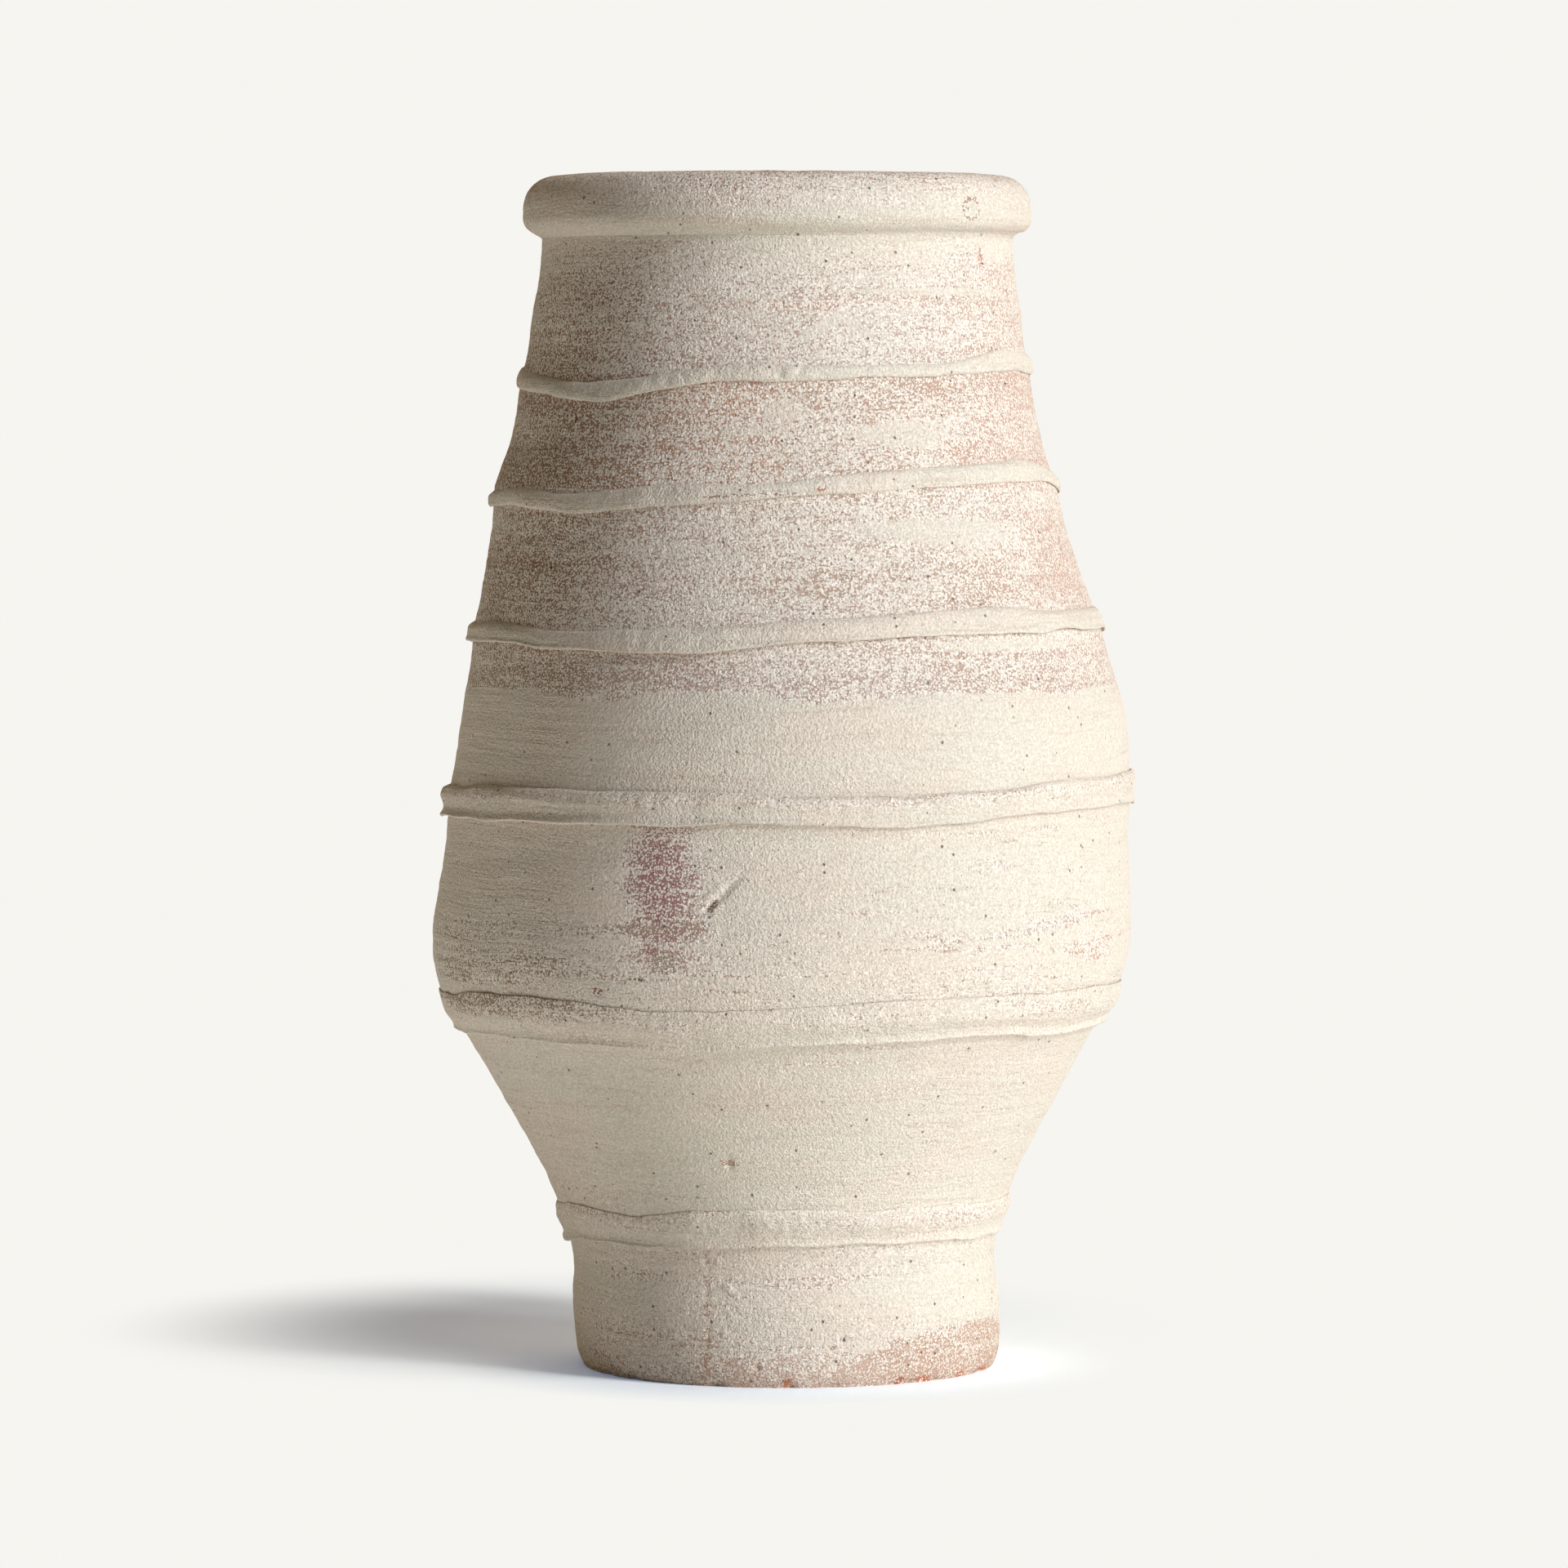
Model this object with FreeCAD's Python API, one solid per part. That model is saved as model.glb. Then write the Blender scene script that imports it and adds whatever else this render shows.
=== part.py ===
import FreeCAD, Part
import math
import os

from FreeCAD import Vector

# A tall coil-built clay storage jar, a pithos, in millimetres. +Z is up, and the origin lies on
# the ground under the middle of the jar. The front of the jar faces -Y.
# The potter raised it in seven hand-built wall sections, each one a ring of coils set on the
# ring below it. A finger-pressed clay band covers each joint, and a thick roll closes the mouth.
# No ring stands quite above the next, so each one has a lean: how far its middle lies to +X.

# The heights of the wall sections, from the ground up, and of the roll on top.
foot_height = 116.0
lower_height = 156.0
belly_height = 162.0
shoulder_height = 126.0
upper_height = 105.0
collar_height = 84.0
neck_height = 102.0
roll_height = 49.0

# The outer radius of the ring at the ground, and how much wider each section is at its top than
# at its foot, or narrower where it is less than zero.
base_radius = 160.0
foot_spread = 7.0
lower_spread = 83.0
belly_spread = 8.0
shoulder_spread = -21.2
upper_spread = -24.8
collar_spread = -20.5
neck_spread = -14.0

# The lean of the ring at the ground and of the one on top of each section.
base_lean = 3.6
foot_top_lean = -1.6
lower_top_lean = -5.0
belly_top_lean = 4.4
shoulder_top_lean = 2.5
upper_top_lean = -6.5
collar_top_lean = -6.2
neck_top_lean = -5.0

# How far a section's wall swells out past the straight line between its two joints, or in
# where it is less than zero. The shoulder swells more towards +X than towards -X.
foot_swell = 2.0
lower_swell = -2.6
belly_swell = 13.6
shoulder_swell = 4.9
shoulder_swell_lean = 4.2
upper_swell = -0.6
collar_swell = -0.6
neck_swell = 0.6

# Where the wall swells: pairs of a height, as a share of the section, and a share of its swell.
foot_swell_shares = (
    (0.15, 0.45), (0.25, 0.9), (0.36, 0.95), (0.47, 0.45), (0.58, -0.7), (0.69, -1.5), (0.83, -1.2),
)
lower_swell_shares = ((0.12, 0.55), (0.25, 1.0), (0.42, 0.95), (0.6, 0.8), (0.78, 0.35))
belly_swell_shares = (
    (0.06, 0.38), (0.13, 0.7), (0.2, 0.91), (0.3, 1.0), (0.42, 0.88), (0.57, 0.61), (0.78, 0.25),
)
shoulder_swell_shares = ((0.14, 0.41), (0.3, 0.83), (0.46, 1.0), (0.64, 0.8), (0.83, 0.35))
upper_swell_shares = ((0.3, 0.9), (0.65, 0.9))
collar_swell_shares = ((0.3, 1.0), (0.7, 0.6))
neck_swell_shares = ((0.3, 0.3), (0.6, 0.8), (0.85, -0.6))

# The thickness of the wall, measured level, and of the floor inside the foot. The seam size is
# the width and the height of the coil in the corner between them.
wall_thickness = 22.0
floor_thickness = 26.0
floor_seam_size = 14.0
foot_edge_round = 6.0

# The roll at the mouth: how far it stands out past the neck and in past its inner face, the
# heights of its widest and its narrowest point, the cove under it, and where its crest lies, as
# a share of the way from the narrowest ring to the widest.
roll_overhang = 15.5
roll_inner_overhang = 8.5
roll_widest_height = 23.0
roll_narrowest_height = 27.0
roll_cove_size = 4.0
roll_crest_share = 0.5

# Each band: half of its height, how far it stands out and leans on the wall, and the most that
# its middle wanders up or down from the joint.
foot_band_half_height = 13.0
foot_band_proud = 6.0
foot_band_lean = -0.4
foot_band_swing = 7.0
belly_band_half_height = 12.0
belly_band_proud = 7.0
belly_band_lean = 1.4
belly_band_swing = 6.0
middle_band_half_height = 12.0
middle_band_proud = 7.0
middle_band_lean = -1.3
middle_band_swing = 6.0
shoulder_band_half_height = 9.0
shoulder_band_proud = 7.4
shoulder_band_lean = -0.6
shoulder_band_swing = 8.0
upper_band_half_height = 7.2
upper_band_proud = 5.6
upper_band_lean = -0.3
upper_band_swing = 12.0
collar_band_half_height = 7.2
collar_band_proud = 5.6
collar_band_lean = -0.4
collar_band_swing = 12.0

# A band's two edges stand this far off the wall. Its root is the part that is shaped inside the
# wall and then cut away, so that the band fits the wall all round.
band_edge = 2.6
band_root = 6.0

# A band's face, as pairs: a height as a share of half of the band's, and how far it stands out,
# as a share of the way from its edge to its middle.
band_face_shares = ((-1.0, 0.0), (-0.7, 0.72), (0.0, 1.0), (0.7, 0.72), (1.0, 0.0))

# The height of each band's middle at even steps round the jar, as shares of its swing. The
# first share is at the front, and the steps run past +X, the back and -X.
foot_band_rise_shares = (
    0.5, 0.45, 0.4, 0.3, 0.1, -0.1, -0.3, -0.2, 0.1, 0.3, 0.1, -0.4, -1.0, -0.4, -0.35, 0.0,
)
belly_band_rise_shares = (
    -0.2, 0.45, 0.5, 0.35, 0.1, -0.2, -0.4, -0.5, -0.6, -0.4, -0.3, -0.6, -1.0, -0.6, -0.15, -0.55,
)
middle_band_rise_shares = (
    0.0, -0.1, 0.7, 0.9, 0.65, 0.3, -0.1, -0.4, -0.3, 0.1, 0.3, -0.3, -1.0, -0.4, -0.1, 0.05,
)
shoulder_band_rise_shares = (
    0.0, 0.75, 1.0, 0.8, 0.5, 0.1, -0.3, -0.5, -0.2, 0.2, 0.4, 0.1, -0.5, -0.35, -0.75, -0.6,
)
upper_band_rise_shares = (
    -0.15, 0.5, 0.95, 1.0, 0.2, -0.1, -0.3, -0.1, 0.2, 0.4, 0.3, -0.2, -0.75, -0.6, -0.9, -0.35,
)
collar_band_rise_shares = (
    0.2, 0.2, 0.4, 0.75, 0.45, 0.15, -0.15, -0.25, -0.1, 0.25, 0.4, 0.2, -0.2, -0.55, -1.0, -0.35,
)

up = Vector(0, 0, 1)
full_turn = 360.0
diagonal = math.sqrt(0.5)

# The height of each joint above the ground.
foot_top = foot_height
lower_top = foot_top + lower_height
belly_top = lower_top + belly_height
shoulder_top = belly_top + shoulder_height
upper_top = shoulder_top + upper_height
collar_top = upper_top + collar_height
neck_top = collar_top + neck_height

# The outer radius of each joint.
foot_top_radius = base_radius + foot_spread
lower_top_radius = foot_top_radius + lower_spread
belly_top_radius = lower_top_radius + belly_spread
shoulder_top_radius = belly_top_radius + shoulder_spread
upper_top_radius = shoulder_top_radius + upper_spread
collar_top_radius = upper_top_radius + collar_spread
neck_top_radius = collar_top_radius + neck_spread

# Each joint's outer ring as its height, lean and radius.
base_ring = (0.0, base_lean, base_radius)
foot_ring = (foot_top, foot_top_lean, foot_top_radius)
lower_ring = (lower_top, lower_top_lean, lower_top_radius)
belly_ring = (belly_top, belly_top_lean, belly_top_radius)
shoulder_ring = (shoulder_top, shoulder_top_lean, shoulder_top_radius)
upper_ring = (upper_top, upper_top_lean, upper_top_radius)
collar_ring = (collar_top, collar_top_lean, collar_top_radius)
neck_ring = (neck_top, neck_top_lean, neck_top_radius)


def between(low, high, share):
    """The value at a share of the way from low to high."""
    return low + (high - low) * share


def rings(low_ring, high_ring, swell, swell_shares, swell_lean=0.0):
    """The rings of one section's outer face, from its lower joint up to below its upper one."""
    middle = [
        (
            between(low_ring[0], high_ring[0], height_share),
            between(low_ring[1], high_ring[1], height_share) + swell_lean * swell_share,
            between(low_ring[2], high_ring[2], height_share) + swell * swell_share,
        )
        for height_share, swell_share in swell_shares
    ]
    return [low_ring, *middle]


jar_rings = [
    *rings(base_ring, foot_ring, foot_swell, foot_swell_shares),
    *rings(foot_ring, lower_ring, lower_swell, lower_swell_shares),
    *rings(lower_ring, belly_ring, belly_swell, belly_swell_shares),
    *rings(
        belly_ring, shoulder_ring, shoulder_swell, shoulder_swell_shares, shoulder_swell_lean
    ),
    *rings(shoulder_ring, upper_ring, upper_swell, upper_swell_shares),
    *rings(upper_ring, collar_ring, collar_swell, collar_swell_shares),
    *rings(collar_ring, neck_ring, neck_swell, neck_swell_shares),
    neck_ring,
]


def hoop(ring, inset=0.0):
    """A level circle at a ring, drawn in by an inset."""
    height, lean, radius = ring
    return Part.Wire(Part.makeCircle(radius - inset, Vector(lean, 0, height), up))


def through(hoops):
    """A smooth solid through level circles, of degree two so that it can't swing past them."""
    return Part.makeLoft(hoops, True, False, False, 2)


# The filled jar below the roll, with its edge worn round at the ground, and the room inside it.
sharp_body = through([hoop(ring) for ring in jar_rings])
ground_edges = [edge for edge in sharp_body.Edges if edge.BoundBox.ZMax < foot_edge_round]
jar_body = sharp_body.makeFillet(foot_edge_round, ground_edges)
jar_room = through([hoop(ring, wall_thickness) for ring in jar_rings])


def stretch(shape, low, high):
    """The part of a shape between two heights."""
    reach = belly_top_radius + lower_top_radius
    return shape.common(Part.makeCylinder(reach, high - low, Vector(0, 0, low), up))


def wall(low, high):
    """A wall section: a ring of clay with level joints at its foot and its head."""
    return stretch(jar_body, low, high).cut(jar_room)


def wall_at(height):
    """The lean and the radius of the jar's outer face at a height."""
    for low, high in zip(jar_rings, jar_rings[1:]):
        if height <= high[0]:
            break
    share = (height - low[0]) / (high[0] - low[0])
    return between(low[1], high[1], share), between(low[2], high[2], share)


def outline(corners):
    """A closed wire from corner to corner, as an arc where a corner has a point to pass."""
    edges = []
    for index, (start, through) in enumerate(corners):
        end = corners[(index + 1) % len(corners)][0]
        curve = Part.Arc(start, through, end) if through else Part.LineSegment(start, end)
        edges.append(curve.toShape())
    return Part.Wire(edges)


def turned(corners, lean):
    """A solid ring: the outline through corners, turned about an upright line."""
    ring = Part.Face(outline(corners)).revolve(Vector(0, 0, 0), up, full_turn)
    ring.translate(Vector(lean, 0, 0))
    return ring


floor_radius = base_radius - wall_thickness


# The floor: a clay disc pressed into the foot, level with the ground.
def floor_slab():
    return Part.makeCylinder(floor_radius, floor_thickness, Vector(base_lean, 0, 0), up)


# The room in the foot above the floor. It widens to meet the room inside the next section.
def foot_room():
    floor_ring = (floor_thickness, base_lean, floor_radius)
    return Part.makeLoft([hoop(floor_ring), hoop(foot_ring, wall_thickness)], True, True)


# The seam coil: a thin coil pressed into the corner between the floor and the foot.
def floor_seam_coil():
    outer_radius = floor_radius + floor_seam_size
    inner_radius = floor_radius - floor_seam_size
    top = floor_thickness + floor_seam_size
    bulge_radius = floor_radius - floor_seam_size * diagonal
    bulge_height = floor_thickness + floor_seam_size * diagonal
    coil = turned(
        [
            (Vector(inner_radius, 0, floor_thickness), None),
            (Vector(outer_radius, 0, floor_thickness), None),
            (Vector(outer_radius, 0, top), None),
            (Vector(floor_radius, 0, top), Vector(bulge_radius, 0, bulge_height)),
        ],
        base_lean,
    )
    return coil.common(foot_room())


# The foot: the first ring of coils, built round the floor.
def foot_wall():
    return stretch(jar_body, 0, foot_top).cut(floor_slab()).cut(foot_room())


# The cone above the foot.
def lower_wall():
    return wall(foot_top, lower_top)


# The belly, the widest section of the jar.
def belly_wall():
    return wall(lower_top, belly_top)


def shoulder_wall():
    return wall(belly_top, shoulder_top)


def upper_wall():
    return wall(shoulder_top, upper_top)


def collar_wall():
    return wall(upper_top, collar_top)


def neck_wall():
    return wall(collar_top, neck_top)


# The roll: a thick coil set on the neck and rounded over inside and out, with a cove under it.
def rim_roll():
    bore_radius = neck_top_radius - wall_thickness
    mouth_radius = bore_radius - roll_inner_overhang
    widest_radius = neck_top_radius + roll_overhang
    crest_radius = between(mouth_radius, widest_radius, roll_crest_share)
    cove_radius = neck_top_radius + roll_cove_size
    crest = neck_top + roll_height
    widest = neck_top + roll_widest_height
    narrowest = neck_top + roll_narrowest_height
    cove = neck_top + roll_cove_size

    def bulge(start, end):
        return Vector(
            between(start.x, end.x, diagonal), 0, between(end.z, start.z, diagonal)
        )

    inner_foot = Vector(bore_radius, 0, neck_top)
    outer_foot = Vector(neck_top_radius, 0, neck_top)
    under = Vector(cove_radius, 0, cove)
    side = Vector(widest_radius, 0, widest)
    top = Vector(crest_radius, 0, crest)
    lip = Vector(mouth_radius, 0, narrowest)
    return turned(
        [
            (inner_foot, None),
            (outer_foot, bulge(under, outer_foot)),
            (under, bulge(under, side)),
            (side, bulge(top, side)),
            (top, bulge(top, lip)),
            (lip, None),
        ],
        neck_top_lean,
    )


def band(joint, half_height, proud, lean, swing, rise_shares):
    """A coil pressed over a joint, wandering up and down as it goes round the jar."""
    profile = [
        (half_height * height_share, between(band_edge, proud, out_share))
        for height_share, out_share in band_face_shares
    ]
    profile += [(half_height, -band_root), (-half_height, -band_root)]
    step = math.tau / len(rise_shares)
    rails = []
    for climb, offset in profile:
        points = []
        for index, rise_share in enumerate(rise_shares):
            height = joint[0] + swing * rise_share + climb
            wall_lean, wall_radius = wall_at(height)
            reach = wall_radius + offset
            turn = step * index
            points.append(
                Vector(wall_lean + lean + reach * math.sin(turn), -reach * math.cos(turn), height)
            )
        rail = Part.BSplineCurve()
        rail.interpolate(Points=points, PeriodicFlag=True)
        rails.append(Part.Wire(rail.toShape()))
    return Part.makeLoft(rails, True, True, True).cut(jar_body)


def foot_band():
    return band(
        foot_ring,
        foot_band_half_height,
        foot_band_proud,
        foot_band_lean,
        foot_band_swing,
        foot_band_rise_shares,
    )


def belly_band():
    return band(
        lower_ring,
        belly_band_half_height,
        belly_band_proud,
        belly_band_lean,
        belly_band_swing,
        belly_band_rise_shares,
    )


def middle_band():
    return band(
        belly_ring,
        middle_band_half_height,
        middle_band_proud,
        middle_band_lean,
        middle_band_swing,
        middle_band_rise_shares,
    )


def shoulder_band():
    return band(
        shoulder_ring,
        shoulder_band_half_height,
        shoulder_band_proud,
        shoulder_band_lean,
        shoulder_band_swing,
        shoulder_band_rise_shares,
    )


def upper_band():
    return band(
        upper_ring,
        upper_band_half_height,
        upper_band_proud,
        upper_band_lean,
        upper_band_swing,
        upper_band_rise_shares,
    )


def collar_band():
    return band(
        collar_ring,
        collar_band_half_height,
        collar_band_proud,
        collar_band_lean,
        collar_band_swing,
        collar_band_rise_shares,
    )


pieces = (
    floor_slab,
    floor_seam_coil,
    foot_wall,
    foot_band,
    lower_wall,
    belly_band,
    belly_wall,
    middle_band,
    shoulder_wall,
    shoulder_band,
    upper_wall,
    upper_band,
    collar_wall,
    collar_band,
    neck_wall,
    rim_roll,
)

os.makedirs("parts", exist_ok=True)
for piece in pieces:
    piece().exportStep(os.path.join("parts", piece.__name__ + ".step"))
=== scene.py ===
import math

import bpy
import numpy as np
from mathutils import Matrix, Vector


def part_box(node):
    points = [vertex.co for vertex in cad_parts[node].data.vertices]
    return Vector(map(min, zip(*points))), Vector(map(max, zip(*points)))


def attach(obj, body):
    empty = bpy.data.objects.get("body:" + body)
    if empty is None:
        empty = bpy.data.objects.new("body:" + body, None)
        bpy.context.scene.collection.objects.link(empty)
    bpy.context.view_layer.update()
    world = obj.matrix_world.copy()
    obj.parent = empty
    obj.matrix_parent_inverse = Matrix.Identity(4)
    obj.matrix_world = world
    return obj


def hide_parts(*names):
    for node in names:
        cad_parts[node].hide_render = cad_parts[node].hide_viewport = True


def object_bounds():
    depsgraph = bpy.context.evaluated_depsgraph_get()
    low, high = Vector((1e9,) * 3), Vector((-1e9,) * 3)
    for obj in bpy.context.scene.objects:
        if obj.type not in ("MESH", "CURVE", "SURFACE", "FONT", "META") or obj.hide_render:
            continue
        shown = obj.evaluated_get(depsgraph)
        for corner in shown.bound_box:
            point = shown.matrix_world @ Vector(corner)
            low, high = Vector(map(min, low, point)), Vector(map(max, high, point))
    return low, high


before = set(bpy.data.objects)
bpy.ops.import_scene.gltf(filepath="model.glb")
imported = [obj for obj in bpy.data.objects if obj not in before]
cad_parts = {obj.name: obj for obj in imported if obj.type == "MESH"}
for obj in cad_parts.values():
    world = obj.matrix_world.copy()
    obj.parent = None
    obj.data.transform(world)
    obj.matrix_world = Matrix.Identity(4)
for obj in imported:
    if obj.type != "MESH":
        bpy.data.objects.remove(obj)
cad_low, cad_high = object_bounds()
bpy.context.view_layer.update()

# The floor of the jar: a clay disc beaten flat on the ground and left bare. It shows only far
# down through the mouth, as an uneven brown bottom with a little slip run down onto it.
mm = 0.001
slab_low, slab_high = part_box("floor_slab")
slab_radius = (slab_high.x - slab_low.x) / 2
slab_lean = (slab_high.x + slab_low.x) / 2
slab_columns = 96
slab_step = 16 * mm
slab_rings = 7
slab_dent_size = 45 * mm
slab_dent_depth = 3 * mm
slab_skin = 1 * mm
slab_edge_angle = math.radians(40)
skin_steps = 20
fineness = 2


def edit(piece):
    """Starts shaping one piece, with nothing on it selected."""
    bpy.ops.object.select_all(action="DESELECT")
    bpy.context.view_layer.objects.active = piece
    piece.select_set(True)
    bpy.ops.object.mode_set(mode="EDIT")
    bpy.ops.mesh.select_all(action="DESELECT")


def done():
    """Goes back from shaping a piece to the whole scene."""
    bpy.ops.object.mode_set(mode="OBJECT")


def apply_modifier(piece, kind, **settings):
    """Puts one modifier on a piece and makes its shape the piece's own."""
    bpy.ops.object.select_all(action="DESELECT")
    bpy.context.view_layer.objects.active = piece
    piece.select_set(True)
    modifier = piece.modifiers.new(kind.lower(), kind)
    for setting, value in settings.items():
        setattr(modifier, setting, value)
    bpy.ops.object.modifier_apply(modifier=modifier.name)


def points_of(piece):
    """The places of a piece's vertices, one row each."""
    places = np.empty(len(piece.data.vertices) * 3)
    piece.data.vertices.foreach_get("co", places)
    return places.reshape(-1, 3)


def move_points(piece, places):
    """Gives a piece's vertices new places."""
    piece.data.vertices.foreach_set("co", places.ravel())
    piece.data.update()


def unevenness(piece, size, depth, weights, stretch=1.0):
    """Presses cloudy hollows of a size into a piece, and never raises it. A stretch draws them
    out round the jar, as a wiping hand does. The weights say how much each vertex gives way."""
    skin = piece.vertex_groups.new(name="skin")
    steps = np.round(weights * skin_steps).astype(int)
    for step in range(1, skin_steps + 1):
        skin.add(np.flatnonzero(steps == step).tolist(), step / skin_steps, "REPLACE")
    hollows = bpy.data.textures.new("clouds", "CLOUDS")
    hollows.noise_scale = size
    guide = bpy.data.objects.new("guide", None)
    bpy.context.scene.collection.objects.link(guide)
    guide.scale = (stretch, stretch, 1)
    bpy.context.view_layer.update()
    apply_modifier(
        piece, "DISPLACE", texture=hollows, texture_coords="OBJECT", texture_coords_object=guide,
        strength=depth, mid_level=1.0, vertex_group="skin",
    )
    piece.vertex_groups.remove(piece.vertex_groups["skin"])
    bpy.data.objects.remove(guide)
    bpy.data.textures.remove(hollows)


bpy.ops.object.select_all(action="DESELECT")
bpy.ops.mesh.primitive_circle_add(vertices=slab_columns, radius=slab_radius, fill_type="NGON")
slab = bpy.context.object
slab.name = slab.data.name = "floor_disc"
edit(slab)
bpy.ops.mesh.select_all(action="SELECT")
bpy.ops.transform.translate(value=(slab_lean, 0, slab_low.z))
bpy.ops.mesh.extrude_region_move(TRANSFORM_OT_translate={"value": (0, 0, slab_high.z)})
for _ in range(slab_rings):
    bpy.ops.mesh.inset(thickness=slab_step)
bpy.ops.mesh.poke()
bpy.ops.mesh.select_all(action="SELECT")
bpy.ops.mesh.normals_make_consistent(inside=False)
done()
apply_modifier(
    slab, "SUBSURF", subdivision_type="SIMPLE", levels=fineness, render_levels=fineness
)
slab_top = points_of(slab)[:, 2] > slab_high.z - slab_skin
unevenness(slab, slab_dent_size, slab_dent_depth, slab_top)
bpy.ops.object.shade_smooth_by_angle(angle=slab_edge_angle)


def add(tree, kind, sockets=(), **settings):
    """Adds a node to a material or a group. A socket takes a value or another node's output."""
    node = tree.nodes.new("ShaderNode" + kind)
    node.location = (200 * len(tree.nodes), 0)
    for setting, value in settings.items():
        setattr(node, setting, value)
    for socket, value in dict(sockets).items():
        if isinstance(value, bpy.types.NodeSocket):
            tree.links.new(value, node.inputs[socket])
        else:
            node.inputs[socket].default_value = value
    return node


def sum_of(tree, *values):
    """The sum of several values of a material or a group."""
    total = values[0]
    for value in values[1:]:
        total = add(tree, "Math", {0: total, 1: value}, operation="ADD").outputs[0]
    return total


def times(tree, value, factor):
    """A value of a material or a group, made so many times as large."""
    return add(tree, "Math", {0: value, 1: factor}, operation="MULTIPLY").outputs[0]


def ease(tree, value, low, high, to_low=0.0, to_high=1.0):
    """Turns a value into a soft step between two levels."""
    sockets = {
        "Value": value, "From Min": low, "From Max": high, "To Min": to_low, "To Max": to_high,
    }
    return add(tree, "MapRange", sockets, interpolation_type="SMOOTHSTEP").outputs[0]


def opaque(colour):
    """Red, green and blue as a full colour. A colour that comes from a node stays as it is."""
    return (*colour, 1) if isinstance(colour, tuple) else colour


def blend(tree, share, first, second):
    """A colour between two others."""
    sockets = {0: share, 6: opaque(first), 7: opaque(second)}
    return add(tree, "Mix", sockets, data_type="RGBA").outputs[2]


def clouds(tree, place, scale, detail=2.0, squash=None):
    """Noise with blots of 1 / scale metres. A squash scales the three axes, each by its own."""
    if squash:
        place = add(tree, "Mapping", {"Vector": place, "Scale": squash}).outputs[0]
    return add(tree, "TexNoise", {"Vector": place, "Scale": scale, "Detail": detail}).outputs[0]


def new_group(name, takes, gives):
    """An effect that several materials use, with its two ends. It takes and gives sockets, by
    name and kind."""
    group = bpy.data.node_groups.new(name, "ShaderNodeTree")
    for in_out, sockets in (("INPUT", takes), ("OUTPUT", gives)):
        for socket, kind in sockets.items():
            group.interface.new_socket(socket, in_out=in_out, socket_type="NodeSocket" + kind)
    return group, group.nodes.new("NodeGroupInput"), group.nodes.new("NodeGroupOutput")


def use(tree, group, **sockets):
    """Places a group in a material and gives its outputs by name."""
    node = add(tree, "Group", node_tree=group)
    for socket, value in sockets.items():
        name = socket.replace("_", " ")
        if isinstance(value, bpy.types.NodeSocket):
            tree.links.new(value, node.inputs[name])
        else:
            node.inputs[name].default_value = value
    return node.outputs


def sandy_grain():
    """Coarse sand in the clay: a gritty skin, and pits where grains have fallen out."""
    group, taken, given = new_group(
        "sandy grain", {"Vector": "Vector"}, {"Height": "Float", "Pits": "Float"}
    )
    place = taken.outputs["Vector"]
    grit = clouds(group, place, 760, 2)
    sand = clouds(group, place, 380, 1)
    cells = add(group, "TexVoronoi", {"Vector": place, "Scale": 95.0})
    luck = add(group, "SeparateXYZ", {0: cells.outputs["Color"]}).outputs[0]
    near = ease(group, cells.outputs["Distance"], 0.13, 0.06)
    chosen = ease(group, luck, 0.60, 0.62)
    pits = times(group, near, chosen)
    height = sum_of(
        group,
        times(group, grit, 0.7),
        times(group, sand, 0.8),
        times(group, pits, -1.0),
    )
    group.links.new(height, given.inputs["Height"])
    group.links.new(pits, given.inputs["Pits"])
    return group


def hand_wipes():
    """Strokes that a wet hand left in the slip as it went round the jar."""
    group, taken, given = new_group(
        "hand wipes", {"Vector": "Vector"}, {"Streak": "Float", "Height": "Float"}
    )
    place = taken.outputs["Vector"]
    wander = add(group, "TexNoise", {"Vector": place, "Scale": 6.0, "Detail": 1.0})
    sockets = {0: wander.outputs["Color"], 1: (0, 0, wipe_wander)}
    shift = add(group, "VectorMath", sockets, operation="MULTIPLY").outputs[0]
    moved = add(group, "VectorMath", {0: place, 1: shift}, operation="ADD").outputs[0]
    broad = clouds(group, moved, 1.0, 4, (7, 7, 200))
    fine = clouds(group, moved, 1.0, 3, (22, 22, 700))
    streak = sum_of(group, times(group, broad, 0.55), times(group, fine, 0.45))
    height = sum_of(group, times(group, broad, 1.1), times(group, fine, 0.5))
    group.links.new(streak, given.inputs["Streak"])
    group.links.new(height, given.inputs["Height"])
    return group


def slip_cover():
    """Where thin slip still lies on the sandy clay: a film that wears thin, and specks of it
    that hold on between the grains where the film has gone."""
    group, taken, given = new_group(
        "slip cover", {"Vector": "Vector", "Cover": "Float", "Streak": "Float"},
        {"Film": "Float", "Specks": "Float"},
    )
    place = taken.outputs["Vector"]
    blots = clouds(group, place, 14.0, 4, (1, 1, 2.4))
    level = sum_of(
        group,
        taken.outputs["Cover"],
        times(group, sum_of(group, blots, -0.5), 0.55),
        taken.outputs["Streak"],
    )
    grit = sum_of(group, clouds(group, place, 480.0, 2), -0.5)
    film = ease(group, sum_of(group, level, times(group, grit, 1.6)), 0.45, 1.0)
    cells = add(group, "TexVoronoi", {"Vector": place, "Scale": 600.0})
    luck = add(group, "SeparateXYZ", {0: cells.outputs["Color"]}).outputs[0]
    crowd = sum_of(group, clouds(group, place, 180.0, 2), -0.5)
    reach = sum_of(
        group,
        ease(group, level, -0.1, 1.0, 0.29, 0.62),
        times(group, luck, 0.34),
        times(group, crowd, 0.4),
    )
    core = sum_of(group, reach, -0.1)
    specks = ease(group, cells.outputs["Distance"], reach, core)
    group.links.new(film, given.inputs["Film"])
    group.links.new(specks, given.inputs["Specks"])
    return group


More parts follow.
